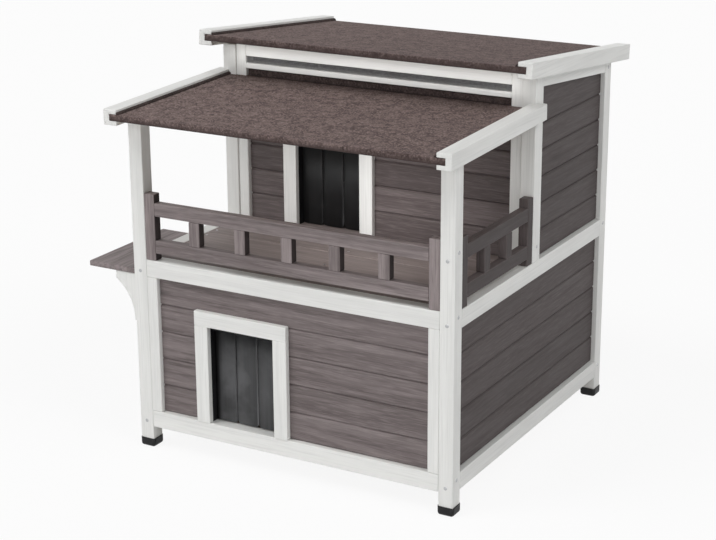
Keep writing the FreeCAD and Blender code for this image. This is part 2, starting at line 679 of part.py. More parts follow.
def make_hinge(name, middle):
    """One butt hinge: the wall's leaf has the two outer knuckles, the lid's leaf the middle one."""
    along, axis_y, axis_z = hinge_axis()
    start = f"({middle} - hinge_long / 2)"
    outer = "((hinge_long - hinge_middle) / 2 - hinge_play)"
    last = f"({start} + hinge_long - {outer})"
    inner_start = f"({middle} - hinge_middle / 2)"
    bore = "(pin_radius + pin_play)"
    hole = rod(f"{name}_bore", start, axis_y, axis_z, bore, "hinge_long")
    leaf_y = (BACK, "leaf_thick")
    wall_pieces = [
        box(f"{name}_wall_plate", (start, "hinge_long"), leaf_y,
            (f"({axis_z} - leaf_wide)", "(leaf_wide - leaf_relief)")),
    ]
    for index, x in ((1, start), (2, last)):
        wall_pieces.append(box(f"{name}_wall_neck_{index}", (x, outer), leaf_y,
                               (f"({axis_z} - leaf_relief)", "leaf_relief")))
        wall_pieces.append(rod(f"{name}_wall_knuckle_{index}", x, axis_y, axis_z, "knuckle_radius", outer))
    wall_leaf = cut(f"{name}_wall_leaf", fuse(f"{name}_wall_blank", wall_pieces), hole)
    leaf_above = ("(-leaf_thick)", "leaf_thick")
    lid_pieces = [
        roof_box(f"{name}_lid_plate", LID, (start, "hinge_long"),
                 (f"({along} + leaf_relief)", "(leaf_wide - leaf_relief)"), leaf_above),
        roof_box(f"{name}_lid_neck", LID, (inner_start, "hinge_middle"), (along, "leaf_relief"), leaf_above),
        rod(f"{name}_lid_knuckle", inner_start, axis_y, axis_z, "knuckle_radius", "hinge_middle"),
    ]
    lid_leaf = cut(f"{name}_lid_leaf", fuse(f"{name}_lid_blank", lid_pieces), hole)
    pin = rod(f"{name}_pin", start, axis_y, axis_z, "pin_radius", "hinge_long")
    return wall_leaf, lid_leaf, pin


def make_hinges():
    left = make_hinge("left_hinge", f"({CENTRE} - hinge_apart / 2)")
    right = make_hinge("right_hinge", f"({CENTRE} + hinge_apart / 2)")
    for label, pair in zip(("hinge_wall_leaves", "hinge_lid_leaves", "hinge_pins"), zip(left, right)):
        group(label, list(pair))


# Jump step on the left side with two hollow-edged brackets
def make_bracket(label, y, back_x):
    """A bracket drawn from its upper back corner: along X to the left, along Z down."""
    reach = f"({back_x} - {LEFT} + bracket_reach)"
    toe = f"({back_x} - {LEFT} + bracket_toe)"
    body = doc.addObject("PartDesign::Body", label)
    body.Label = label
    sketch = new_sketch(body, "XZ_Plane")
    out, down = ROWS["bracket_reach"], ROWS["bracket_drop"]
    nose, foot, curve = ROWS["bracket_nose"], ROWS["bracket_toe"], ROWS["bracket_curve"]
    corners = [Vector(0, 0), Vector(0, down), Vector(foot, down), Vector(out, nose), Vector(out, 0)]
    chord = corners[3] - corners[2]
    middle = (corners[3] + corners[2]) * 0.5
    sagitta = curve - (curve ** 2 - (chord.Length / 2) ** 2) ** 0.5
    inward = Vector(chord.y, -chord.x).normalize()
    bulge = middle + inward * sagitta
    sketch.addGeometry(Part.LineSegment(corners[0], corners[1]))
    sketch.addGeometry(Part.LineSegment(corners[1], corners[2]))
    sketch.addGeometry(Part.Arc(corners[2], bulge, corners[3]))
    sketch.addGeometry(Part.LineSegment(corners[3], corners[4]))
    sketch.addGeometry(Part.LineSegment(corners[4], corners[0]))
    arc = sketch.Geometry[2]
    arc_first = 1 if (arc.StartPoint - corners[2]).Length < (arc.EndPoint - corners[2]).Length else 2
    arc_last = 3 - arc_first
    for first, last in (((0, 2), (1, 1)), ((1, 2), (2, arc_first)), ((2, arc_last), (3, 1)),
                        ((3, 2), (4, 1)), ((4, 2), (0, 1))):
        sketch.addConstraint(Sketcher.Constraint("Coincident", *first, *last))
    sketch.addConstraint(Sketcher.Constraint("Coincident", 0, 1, -1, 1))
    for kind, edge in (("Vertical", 0), ("Horizontal", 1), ("Vertical", 3), ("Horizontal", 4)):
        sketch.addConstraint(Sketcher.Constraint(kind, edge))
    dimension(sketch, "DistanceY", "drop", 1, 1, "bracket_drop", down)
    dimension(sketch, "DistanceX", "toe", 1, 2, toe, foot)
    dimension(sketch, "DistanceX", "reach", 3, 1, reach, out)
    dimension(sketch, "DistanceY", "nose", 3, 1, "bracket_nose", nose)
    radius = sketch.addConstraint(Sketcher.Constraint("Radius", 2, curve))
    sketch.renameConstraint(radius, "curve")
    sketch.setExpression("Constraints.curve", formula("bracket_curve"))
    pad = body.newObject("PartDesign::Pad", f"{label}Pad")
    pad.Profile = sketch
    bind(pad, Length="bracket_thick")
    body.Placement = Placement(Vector(), Rotation(Vector(0, 1, 0), 180))
    place(body, back_x, f"({y} + bracket_thick)", STEP_Z)
    return body


def make_step():
    step_y = f"({FRONT} + step_front)"
    node(box("step_board", (f"({LEFT} - step_reach)", "step_reach"), (step_y, "step_long"),
             (STEP_Z, "step_thick")))
    group("step_brackets", [
        make_bracket("front_bracket", f"({step_y} + bracket_edge)", LEFT),
        make_bracket("rear_bracket", f"({step_y} + step_long - bracket_edge - bracket_thick)",
                     f"({LEFT} + board_inset)"),
    ])


# Screws through the posts into the rails, the railings and the upper stiles
SCREW_TURNS = {
    "+y": Rotation(Vector(1, 0, 0), -90),
    "-y": Rotation(Vector(1, 0, 0), 90),
    "+x": Rotation(Vector(0, 1, 0), 90),
    "-x": Rotation(Vector(0, 1, 0), -90),
}


def screw(label, direction, x, y, z):
    """A pan-head screw driven in the given direction at a point of the outer face."""
    parts = []
    sign = "-" if direction[0] == "+" else "+"
    head_start = {"x": x, "y": y}
    head_start[direction[1]] = f"({head_start[direction[1]]} {sign} screw_proud)"
    for name, base, radius, length in (
        ("head", head_start, "screw_head", "screw_proud"),
        ("shank", {"x": x, "y": y}, "screw_shank", "(post_side + screw_grip)"),
    ):
        part = doc.addObject("Part::Cylinder", f"{label}_{name}")
        bind(part, Radius=radius, Height=length)
        part.Placement = Placement(Vector(), SCREW_TURNS[direction])
        place(part, base["x"], base["y"], z)
        parts.append(part)
    return fuse(label, parts)


def make_screws():
    screws = []
    railing_z = f"({DECK_Z} + railing_gap + 1.5 * railing_bar + railing_open)"
    rails = {"bottom": "(foot_clear + rail_high / 2)", "mid": f"({MID_Z} + rail_high / 2)"}
    half = "post_side / 2"
    for side, face_x, mid_x, into_x in (("left", LEFT, f"({LEFT} + {half})", "+x"),
                                        ("right", RIGHT, f"({RIGHT} - {half})", "-x")):
        for end, face_y, mid_y, into_y in (("front", FRONT, f"({FRONT} + {half})", "+y"),
                                           ("back", BACK, f"({BACK} - {half})", "-y")):
            heights = dict(rails, railing=railing_z) if end == "front" else rails
            for name, z in heights.items():
                label = f"{end}_{side}_{name}_screw"
                if name != "railing" or side == "right":
                    screws.append(screw(f"{label}_end", into_y, mid_x, face_y, f"({z} - screw_stagger)"))
                screws.append(screw(f"{label}_side", into_x, face_x, mid_y, f"({z} + screw_stagger)"))
        screws.append(screw(f"back_{side}_top_screw", into_x, face_x, f"({BACK} - {half})",
                            f"({back_rail_z()} + rail_high / 2)"))
        for index in range(UPPER_SCREWS):
            screws.append(screw(f"upper_{side}_screw_{index + 1}", into_x, face_x, f"({WALL} + {half})",
                                f"({DECK_Z} + screw_low + {index} * screw_rise)"))
    group("frame_screws", screws)


def check_document():
    """Stop if anything in the document failed or a sub-part isn't sound."""
    for obj in doc.Objects:
        if "Invalid" in obj.State or "Error" in obj.State:
            raise RuntimeError(f"{obj.Label} failed: {obj.State}")
    for piece in nodes:
        shape = piece.Shape
        if shape.isNull() or not shape.isValid() or not shape.Solids:
            raise RuntimeError(f"{piece.Label} has no sound shape")


make_posts()
make_rails()
make_boards()
make_floors()
make_doorways()
make_railings()
make_balcony_roof()
make_lid()
make_hinges()
make_step()
make_screws()
doc.recompute()
check_document()

os.makedirs("parts", exist_ok=True)
for piece in nodes:
    piece.Shape.exportStep(f"parts/{piece.Label}.step")
    print(f"{piece.Label}: {len(piece.Shape.Solids)} solids, {piece.Shape.Volume / 1000:.1f} cm3")
print(f"{len(nodes)} sub-parts")
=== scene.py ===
"""Dresses the outdoor cat house: painted and stained timber, mineral felt, smoky strips and screws."""

import json
import math
import random

import bmesh
import bpy
from mathutils import Matrix, Vector

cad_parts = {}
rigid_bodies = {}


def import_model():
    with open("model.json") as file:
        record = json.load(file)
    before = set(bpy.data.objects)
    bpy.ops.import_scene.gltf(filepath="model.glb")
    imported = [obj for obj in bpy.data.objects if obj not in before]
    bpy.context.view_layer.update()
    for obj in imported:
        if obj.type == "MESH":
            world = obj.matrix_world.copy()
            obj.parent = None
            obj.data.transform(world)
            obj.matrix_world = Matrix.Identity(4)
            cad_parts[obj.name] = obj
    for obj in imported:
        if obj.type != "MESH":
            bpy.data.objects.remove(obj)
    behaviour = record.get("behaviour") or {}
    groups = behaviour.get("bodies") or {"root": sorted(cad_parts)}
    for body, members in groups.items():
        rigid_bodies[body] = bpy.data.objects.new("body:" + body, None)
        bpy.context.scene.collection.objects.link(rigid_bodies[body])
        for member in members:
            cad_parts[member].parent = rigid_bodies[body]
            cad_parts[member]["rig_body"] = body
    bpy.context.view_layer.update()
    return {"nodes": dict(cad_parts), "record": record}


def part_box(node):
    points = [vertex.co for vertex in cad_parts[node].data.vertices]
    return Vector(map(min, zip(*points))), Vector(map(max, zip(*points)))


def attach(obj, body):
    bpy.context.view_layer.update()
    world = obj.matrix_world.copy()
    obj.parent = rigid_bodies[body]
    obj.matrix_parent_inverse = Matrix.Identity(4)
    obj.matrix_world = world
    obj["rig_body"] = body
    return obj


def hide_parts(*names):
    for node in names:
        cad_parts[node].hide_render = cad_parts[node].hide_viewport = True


bl_info = {
    "name": "Outdoor cat house",
    "version": (1, 0, 0),
    "blender": (4, 5, 0),
    "location": "3D View > Sidebar > Cat House",
    "description": "Dresses the timber, felt, plastic and metal of a two-storey outdoor cat house",
    "category": "Object",
}

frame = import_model()
COLOUR = {row["slot"]: row["base_color"] for row in frame["record"]["materials"]}
SLOT = {row["node"]: row["material_slot"] for row in frame["record"]["subparts"]}

# The word for each slot's finish, which begins the names of its pieces
WORD = {
    "white_paint": "painted", "grey_stain": "stained", "raw_wood": "planed", "deck_wood": "oiled",
    "roof_felt": "gritted", "black_plastic": "moulded", "clear_strip": "smoky", "zinc_steel": "plated",
}

# The nodes of each group of like pieces
POSTS_AND_RAILS = (
    "front_left_post", "front_right_post", "back_left_post", "back_right_post", "upper_posts",
    "front_bottom_rail", "back_bottom_rail", "left_bottom_rail", "right_bottom_rail",
    "front_mid_rail", "back_mid_rail", "left_mid_rail", "right_mid_rail", "front_stiles",
    "upper_front_stiles", "vent_rail_bar", "head_rail", "back_top_rail", "side_top_rails",
)
WALL_BOARDS = (
    "front_boards", "upper_front_boards", "left_boards", "right_boards", "back_boards",
    "upper_back_boards", "upper_left_boards", "upper_right_boards",
)
FLOORS = ("floor_bearers", "floor_panel", "deck_bearers", "deck_planks")
DOOR_FRAMES = (
    "lower_door_trim", "upper_door_trim", "lower_door_lining", "upper_door_lining", "strip_headers",
)
STRIPS = (
    "lower_strip_1", "lower_strip_2", "lower_strip_3", "upper_strip_1", "upper_strip_2", "upper_strip_3",
)
FIRST_STRIPS = ("lower_strip_1", "upper_strip_1")
RAILINGS = ("front_railing", "right_railing")
ROOF_TIMBER = (
    "balcony_roof_panel", "balcony_roof_barges", "balcony_roof_beams",
    "lid_panel", "lid_barges", "lid_battens",
)
ROOFS = ("balcony_roof", "lid")
STEP = ("step_board", "step_brackets")
HINGES = ("hinge_wall_leaves", "hinge_lid_leaves", "hinge_pins")

# Tone is the share of a finish's dark colour: the tone of each node, and what is added within a piece.
# The higher tones of the side boards, the upper front boards, the right railing and the upper strips are
# painted shade, where those faces turn from the light or lie under the balcony roof
DEPTH = {
    "left_boards": 0.8, "right_boards": 0.8, "upper_left_boards": 0.8, "upper_right_boards": 0.8,
    "back_boards": 0.5, "upper_back_boards": 0.5, "front_boards": 0.36, "upper_front_boards": 0.6,
    "right_railing": 0.6, "front_railing": 0.08, "step_board": 0.0, "lid_felt": 0.34,
    "lower_strip_1": 0.0, "lower_strip_2": 0.0, "lower_strip_3": 0.0,
    "upper_strip_1": 0.82, "upper_strip_2": 0.82, "upper_strip_3": 0.82,
}
PLAIN_DEPTH = 0.08
TONE_SPREAD = 0.16
# Tone added on the right sides of railing uprights: painted shade
SHADED_SIDE_DEPTH = 1.0
# Painted shade on the roof felt: down its front fold, and growing to the right
FOLD_SHADE = 1.0
FELT_SHADE_LEAN = 0.2
# Painted shade down the strips towards the header, and painted highlights on their right cut edges
HANG_SHADE = 0.6
EDGE_HIGHLIGHT = {
    "lower_strip_1": 0.0, "lower_strip_2": 1.0, "lower_strip_3": 0.3,
    "upper_strip_1": 0.2, "upper_strip_2": 0.6, "upper_strip_3": 0.1,
}
LINING_SHADOW = 0.014
GRAIN_SHIFT = 9.0

# Shapes
UP = Vector((0.0, 0.0, 1.0))
LEAF_FACES = {"hinge_wall_leaves": Vector((0.0, 1.0, 0.0)), "hinge_lid_leaves": Vector((0.0, 0.0, -1.0))}
SHARP = math.radians(28)
CURVED = math.radians(0.6)
FLAT = math.radians(0.3)
FACING = 0.9
SIDEWAYS = 0.5
SAME_POINT = 1e-6
DOOR_EDGE_SHARE = 0.7
FELT_SEGMENTS = 3
CAP_SEGMENTS = 4
CORNER_SEGMENTS = 5
STRIP_CUTS = 12
BEAD_TURNS = 5
WIRE_SIDES = 6
HEAD_STEPS = 24
HEAD_RIM = 0.9
HEAD_TOP = 0.3
HEAD_PROFILE = ((1.0, 0.0), (1.0, 0.32), (0.86, 0.68), (0.62, 0.9), (0.26, 1.0), (0.0, 1.0))
CROSS_HUB = 0.24
CROSS_REACH = 0.5
CROSS_ARM = 15.0
SHANK_SIDES = 12
SHANK_SHARE = 0.5
SHANK_TIP = 0.35
SHANK_LAP = 0.0001
PLANK_SCREWS = (0.2, 0.8)
PLANK_HEAD_HIGH = 0.0006
PLANK_HEAD_SINK = 0.0004
PLANK_RECESS = 0.5
LEAF_SCREWS = (0.16, 0.5, 0.84)
LEAF_HEAD_HIGH = 0.0008
LEAF_HEAD_SINK = 0.0001
LEAF_RECESS = 0.6

# Stage
FLOOR_DROP = 0.0002
FLOOR_COLOUR = (0.85, 0.85, 0.85, 1.0)
FLOOR_WHITE = 0.9
WHITE = (1.0, 1.0, 1.0, 1.0)
SUNS = {
    "key": ((-0.40, -0.42, 0.81), 25.0),
    "front": ((-0.05, -0.97, 0.20), 40.0),
    "side": ((0.72, -0.10, 0.68), 30.0),
}
BALCONY_AIM = (0.0, -0.87, 0.5)
LID_AIM = (0.0, -0.98, 0.2)
EAVE_SPREAD = math.radians(85.0)
SENSOR_WIDE = 36.0
FAR = 100.0


def length(name, description, default):
    return bpy.props.FloatProperty(
        name=name, description=description, default=default, min=0.0, precision=4,
        subtype="DISTANCE", unit="LENGTH")


def colour(name, description, default):
    return bpy.props.FloatVectorProperty(
        name=name, description=description, default=default, size=3, min=0.0, max=1.0, subtype="COLOR")


def angle(name, description, degrees):
    return bpy.props.FloatProperty(
        name=name, description=description, default=math.radians(degrees),
        subtype="ANGLE", unit="ROTATION")


def strength(name, description, default):
    return bpy.props.FloatProperty(name=name, description=description, default=default, min=0.0)


def power(name, description, default):
    return bpy.props.FloatProperty(
        name=name, description=description, default=default, min=0.0, subtype="POWER", unit="POWER")


class CATHOUSE_PG_sizes(bpy.types.PropertyGroup):
    timber_edge: length("Timber edge", "Rounding on the edges of posts, rails and battens", 0.0016)
    board_edge: length("Board edge", "Rounding on the edges of the wall boards", 0.0006)
    deck_edge: length("Deck edge", "Rounding on the edges of the deck planks", 0.0015)
    felt_edge: length("Felt edge", "Rounding on the folds of the roof felt", 0.001)
    # The felt fold is the height of the painted shade down the felt's front fold
    felt_fold: length("Felt fold", "Height over which the front fold of the felt gets darker", 0.009)
    felt_seal: length("Felt seal", "Radius of the bitumen bead along the sides of the felt", 0.005)
    upstand_thick: length("Felt upstand", "Thickness of the felt turned up at the upper wall", 0.002)
    mesh_pitch: length("Mesh pitch", "Between the wires of the mesh in the vent slot", 0.0026)
    mesh_wire: length("Mesh wire", "Radius of the wires of the mesh", 0.0005)
    mesh_back: length("Mesh back", "Mesh behind the face of the upper front wall", 0.006)
    mesh_grip: length("Mesh grip", "Wire ends held in the timber around the slot", 0.0015)
    metal_edge: length("Metal edge", "Rounding on the edges of the hinge leaves", 0.0003)
    cap_edge: length("Cap edge", "Rounding on the outside of a foot cap", 0.006)
    cap_wall: length("Cap wall", "Thickness of a foot cap's wall", 0.002)
    cap_floor: length("Cap floor", "Thickness of a foot cap's floor", 0.003)
    strip_corner: length("Strip corner", "Rounding on the lower corners of a curtain strip", 0.006)
    strip_bow: length("Strip bow", "How far a curtain strip bows forward across its width", 0.0007)
    recess_deep: length("Recess", "Depth of the cross in a screw head", 0.0006)
    deck_screw: length("Deck screw", "Radius of the screw heads in the deck planks", 0.0032)
    hinge_screw: length("Hinge screw", "Radius of the screw heads in the hinge leaves", 0.0024)


class CATHOUSE_PG_colours(bpy.types.PropertyGroup):
    white_paint: colour("White paint", "Paint on the frame and the barge battens", COLOUR["white_paint"])
    grey_stain: colour("Grey stain", "Thinnest stain on boards, railings and step", (0.30, 0.255, 0.254))
    # The stain streak is also the dark colour of the painted shade on boards and railings
    stain_streak: colour("Stain streak", "Dark streaks in the stain", (0.078, 0.061, 0.060))
    raw_wood: colour("Raw wood", "Untreated softwood inside", COLOUR["raw_wood"])
    deck_wood: colour("Deck wood", "Oiled planks of the balcony floor", (0.305, 0.255, 0.244))
    roof_felt: colour("Roof felt", "Grit on the roof felt", COLOUR["roof_felt"])
    # The dark grit is also the colour of the painted shade on the felt
    felt_dark: colour("Felt, dark grit", "Dark grains and bitumen between them", (0.055, 0.038, 0.036))
    felt_pale: colour("Felt, pale grit", "Pale grains in the grit", (0.40, 0.30, 0.28))
    black_plastic: colour("Black plastic", "Foot caps and door linings", COLOUR["black_plastic"])
    clear_strip: colour("Smoky strip", "Curtain strips of soft plastic", (0.165, 0.166, 0.172))
    zinc_steel: colour("Zinc", "Screws, hinges and vent mesh", COLOUR["zinc_steel"])


class CATHOUSE_PG_stage(bpy.types.PropertyGroup):
    lens: bpy.props.FloatProperty(
        name="Lens", description="Focal length on a 36 mm wide sensor", default=90.82, min=1.0,
        subtype="DISTANCE_CAMERA", unit="CAMERA")
    camera_place: bpy.props.FloatVectorProperty(
        name="Camera place", description="Where the camera stands", default=(1.7398, -3.0602, 1.4606),
        size=3, subtype="TRANSLATION", unit="LENGTH")
    camera_turn: angle("Camera turn", "Angle round the house from its front", 29.63)
    camera_dip: angle("Camera dip", "How far the camera looks down", 18.017)
    camera_tilt: angle("Camera tilt", "Turn about the line of sight", -0.34)
    key_power: strength("Key light", "Strength of the soft light from above the front left", 1.1)
    front_power: strength("Front light", "Strength of the soft light from the front", 0.9)
    side_power: strength("Side light", "Strength of the soft light from above the right", 0.9)
    balcony_power: power("Balcony light", "Strength of the soft light under the balcony roof", 0.32)
    lid_power: power("Lid light", "Strength of the soft light under the front of the lid", 0.055)
    room_light: strength("Room light", "Strength of the even light all round", 0.3)
    floor_wide: length("Floor", "Side of the pale floor", 80.0)


# Materials

def add(owner, kind, **settings):
    """A new node in the tree of a material or a world."""
    made = owner.node_tree.nodes.new(kind)
    for key, value in settings.items():
        setattr(made, key, value)
    return made


def join(owner, source, target):
    owner.node_tree.links.new(source, target)


def put(owner, socket, value):
    """Links a socket, or sets a plain value."""
    if isinstance(value, bpy.types.NodeSocket):
        join(owner, value, socket)
    else:
        socket.default_value = value


def blank(name):
    material = bpy.data.materials.new(name)
    material.use_nodes = True
    return material, material.node_tree.nodes["Principled BSDF"]


def rgba(value):
    return value if isinstance(value, bpy.types.NodeSocket) else (*value[:3], 1.0)


def times(share, base):
    """A colour made darker, or paler, by a share."""
    return tuple(min(1.0, share * part) for part in base)


def noise(material, place, scale, detail=3.0, rough=0.55, bent=0.0):
    made = add(material, "ShaderNodeTexNoise")
    join(material, place, made.inputs["Vector"])
    made.inputs["Scale"].default_value = scale
    made.inputs["Detail"].default_value = detail
    made.inputs["Roughness"].default_value = rough
    made.inputs["Distortion"].default_value = bent
    return made.outputs["Fac"]


def stretched(material, place, scale):
    mapping = add(material, "ShaderNodeMapping")
    join(material, place, mapping.inputs["Vector"])
    mapping.inputs["Scale"].default_value = scale
    return mapping.outputs["Vector"]


def streaky(material, place, stretch, detail=3.0, rough=0.55, bent=0.0):
    """Noise that is drawn out along one direction."""
    return noise(material, stretched(material, place, stretch), 1.0, detail, rough, bent)


def cells(material, place, scale):
    """Distance to the nearest of many scattered points."""
    made = add(material, "ShaderNodeTexVoronoi")
    join(material, place, made.inputs["Vector"])
    made.inputs["Scale"].default_value = scale
    return made.outputs["Distance"]


def ranged(material, value, low, high, new_low, new_high):
    made = add(material, "ShaderNodeMapRange")
    join(material, value, made.inputs["Value"])
    numbers = {"From Min": low, "From Max": high, "To Min": new_low, "To Max": new_high}
    for key, number in numbers.items():
        made.inputs[key].default_value = number
    return made.outputs["Result"]


def blend(material, share, first, second):
    made = add(material, "ShaderNodeMix", data_type="RGBA", blend_type="MIX")
    put(material, made.inputs[0], share)
    put(material, made.inputs[6], rgba(first))
    put(material, made.inputs[7], rgba(second))
    return made.outputs[2]


def reckon(owner, operation, first, second):
    made = add(owner, "ShaderNodeMath", operation=operation)
    put(owner, made.inputs[0], first)
    put(owner, made.inputs[1], second)
    return made.outputs[0]


def attribute(material, name, output):
    return add(material, "ShaderNodeAttribute", attribute_name=name).outputs[output]


def object_place(material):
    return add(material, "ShaderNodeTexCoord").outputs["Object"]


def raise_surface(material, shader, height, amount, distance):
    bump = add(material, "ShaderNodeBump")
    bump.inputs["Strength"].default_value = amount
    bump.inputs["Distance"].default_value = distance
    join(material, height, bump.inputs["Height"])
    join(material, bump.outputs["Normal"], shader.inputs["Normal"])


def stained_wood(name, base, streak, knots, roughness):
    """Stained or oiled softwood whose grain runs along each board."""
    material, shader = blank(name)
    grain = attribute(material, "grain", "Vector")
    tone = attribute(material, "tone", "Fac")
    bands = streaky(material, grain, (1.8, 30.0, 30.0), 3.0, 0.5, 0.8)
    streaks = streaky(material, grain, (7.0, 130.0, 130.0), 4.0, 0.6, 0.5)
    fibres = streaky(material, grain, (30.0, 700.0, 700.0), 2.0)
    knot = cells(material, stretched(material, grain, (2.4, 13.0, 13.0)), 1.0)
    # The tone darkens the stain towards its streak colour; on the side boards, the upper front boards,
    # the right railing and the uprights' right sides it is painted shade
    toned = blend(material, tone, base, streak)
    banded = blend(material, ranged(material, bands, 0.42, 0.62, 0.0, 0.5), toned, streak)
    drawn = blend(material, ranged(material, streaks, 0.42, 0.7, 0.0, 0.72), banded, streak)
    fibred = blend(material, ranged(material, fibres, 0.5, 0.66, 0.0, 0.18), drawn, times(1.5, base))
    spot = ranged(material, knot, 0.04, 0.13, knots, 0.0)
    knotted = blend(material, spot, fibred, times(0.55, streak))
    deep_stain_and_shade = blend(material, ranged(material, tone, 0.5, 1.0, 0.0, 0.85), knotted, times(0.5, streak))
    dull = ranged(material, streaks, 0.3, 0.8, roughness - 0.08, roughness + 0.1)
    join(material, deep_stain_and_shade, shader.inputs["Base Color"])
    join(material, dull, shader.inputs["Roughness"])
    shader.inputs["Specular IOR Level"].default_value = 0.35
    raise_surface(material, shader, streaks, 0.22, 0.0004)
    return material


def white_paint(name, base):
    """Satin paint over planed softwood, with the grain just showing."""
    material, shader = blank(name)
    grain = attribute(material, "grain", "Vector")
    bands = streaky(material, grain, (3.0, 40.0, 40.0))
    brushed = streaky(material, grain, (9.0, 320.0, 320.0))
    cloudy = blend(material, ranged(material, bands, 0.4, 0.62, 0.0, 1.0), base, times(0.93, base))
    lined = blend(material, ranged(material, brushed, 0.5, 0.68, 0.0, 0.6), cloudy, times(0.84, base))
    join(material, lined, shader.inputs["Base Color"])
    join(material, ranged(material, bands, 0.3, 0.7, 0.38, 0.52), shader.inputs["Roughness"])
    shader.inputs["Specular IOR Level"].default_value = 0.4
    raise_surface(material, shader, brushed, 0.12, 0.0004)
    return material


def mineral_felt(name, base, dark, pale):
    """Bitumen felt with mixed brown grit bedded in it."""
    material, shader = blank(name)
    place = object_place(material)
    tone = attribute(material, "tone", "Fac")
    grains = cells(material, place, 520.0)
    speckle = noise(material, place, 260.0, 2.0, 0.7)
    clumps = noise(material, place, 75.0, 3.0, 0.65)
    patches = noise(material, place, 58.0, 3.0)
    bedded = blend(material, ranged(material, clumps, 0.38, 0.58, 0.72, 0.0), base, dark)
    gritty = blend(material, ranged(material, speckle, 0.38, 0.53, 0.9, 0.0), bedded, dark)
    sparkled = blend(material, ranged(material, speckle, 0.54, 0.67, 0.0, 0.7), gritty, pale)
    faded = blend(material, ranged(material, patches, 0.42, 0.64, 0.0, 0.3), sparkled, pale)
    # The tone darkens the felt towards its dark grit: painted shade down the front fold and to the right
    join(material, blend(material, tone, faded, dark), shader.inputs["Base Color"])
    join(material, ranged(material, speckle, 0.3, 0.7, 0.95, 0.78), shader.inputs["Roughness"])
    shader.inputs["Specular IOR Level"].default_value = 0.25
    raise_surface(material, shader, grains, 0.55, 0.0009)
    return material


def smoky_plastic(name, base):
    """Soft clear plastic with a grey tint and faint lines from its roller; its tone carries painted
    shade and a painted highlight on the cut edges.
    """
    material, shader = blank(name)
    place = object_place(material)
    tone = attribute(material, "tone", "Fac")
    drawn = streaky(material, place, (64.0, 1.0, 2.0), 2.0)
    haze = noise(material, place, 15.0, 3.0)
    lined = blend(material, ranged(material, drawn, 0.34, 0.66, 0.0, 1.0), base, times(0.55, base))
    hazy = blend(material, ranged(material, haze, 0.46, 0.62, 0.0, 0.8), lined, times(1.4, base))
    # The tone darkens the plastic with painted shade; a tone below nought pales it into a painted
    # highlight
    tint = blend(material, tone, hazy, times(0.08, base))
    highlighted_edge = blend(material, ranged(material, tone, -1.0, 0.0, 1.0, 0.0), tint, times(3.0, base))
    join(material, highlighted_edge, shader.inputs["Base Color"])
    join(material, ranged(material, haze, 0.3, 0.7, 0.4, 0.56), shader.inputs["Roughness"])
    shader.inputs["Transmission Weight"].default_value = 0.3
    shader.inputs["Specular IOR Level"].default_value = 0.18
    shader.inputs["IOR"].default_value = 1.45
    raise_surface(material, shader, drawn, 0.1, 0.0003)
    return material


def moulded_plastic(name, base):
    """Black moulded plastic with a fine eroded texture."""
    material, shader = blank(name)
    place = object_place(material)
    pitted = noise(material, place, 1400.0, 2.0)
    worn = noise(material, place, 60.0, 3.0)
    scuffed = blend(material, ranged(material, worn, 0.5, 0.8, 0.0, 0.5), base, (0.035, 0.035, 0.037))
    join(material, scuffed, shader.inputs["Base Color"])
    join(material, ranged(material, worn, 0.3, 0.7, 0.34, 0.52), shader.inputs["Roughness"])
    shader.inputs["Specular IOR Level"].default_value = 0.2
    raise_surface(material, shader, pitted, 0.25, 0.0002)
    return material


def zinc_plate(name, base):
    """Zinc plated steel with a soft, cloudy shine."""
    material, shader = blank(name)
    place = object_place(material)
    clouds = noise(material, place, 160.0, 3.0)
    scratches = streaky(material, place, (60.0, 900.0, 900.0), 2.0)
    plated = blend(material, ranged(material, clouds, 0.3, 0.7, 0.0, 1.0), base, times(1.35, base))
    join(material, plated, shader.inputs["Base Color"])
    shader.inputs["Metallic"].default_value = 1.0
    join(material, ranged(material, scratches, 0.3, 0.7, 0.28, 0.45), shader.inputs["Roughness"])
    raise_surface(material, shader, scratches, 0.08, 0.0001)
    return material


def finish(slot):
    """The material of a slot, made once."""
    name = f"{WORD[slot]}_finish"
    made = bpy.data.materials.get(name)
    if made:
        return made
    colours = bpy.context.scene.cathouse_colours
    base = tuple(getattr(colours, slot))
    if slot == "white_paint":
        return white_paint(name, base)
    if slot == "grey_stain":
        return stained_wood(name, base, tuple(colours.stain_streak), 0.5, 0.62)
    if slot == "raw_wood":
        return stained_wood(name, base, times(0.62, base), 0.6, 0.7)
    if slot == "deck_wood":
        return stained_wood(name, base, times(0.6, base), 0.5, 0.6)
    if slot == "roof_felt":
        return mineral_felt(name, base, tuple(colours.felt_dark), tuple(colours.felt_pale))
    if slot == "black_plastic":
        return moulded_plastic(name, base)
    if slot == "clear_strip":
        return smoky_plastic(name, base)
    if slot == "zinc_steel":
        return zinc_plate(name, base)
    raise ValueError(f"no finish is written for the slot {slot}")


# Solids

def solids_of(node):
    """Each closed solid of a CAD node as a bmesh, with its points merged and its flat faces whole."""
    whole = bmesh.new()
    whole.from_mesh(frame["nodes"][node].data)
    groups, group, open_edges = [], set(), set()
    for face in whole.faces:
        corners = [tuple(round(part, 6) for part in corner.co) for corner in face.verts]
        for edge in zip(corners, corners[1:] + corners[:1]):
            if edge[::-1] in open_edges:
                open_edges.remove(edge[::-1])
            else:
                open_edges.add(edge)
        group.add(face.index)
        if not open_edges:
            groups.append(group)
            group = set()
    if group:
        raise ValueError(f"{node} has a solid that isn't closed")
    parts = []
    for group in groups:
        part = whole.copy()
        part.faces.ensure_lookup_table()
        spare = [face for face in part.faces if face.index not in group]
        bmesh.ops.delete(part, geom=spare, context="FACES")
        bmesh.ops.remove_doubles(part, verts=part.verts, dist=SAME_POINT)
        bmesh.ops.dissolve_limit(part, angle_limit=FLAT, verts=part.verts, edges=part.edges)
        parts.append(part)
    whole.free()
    return parts


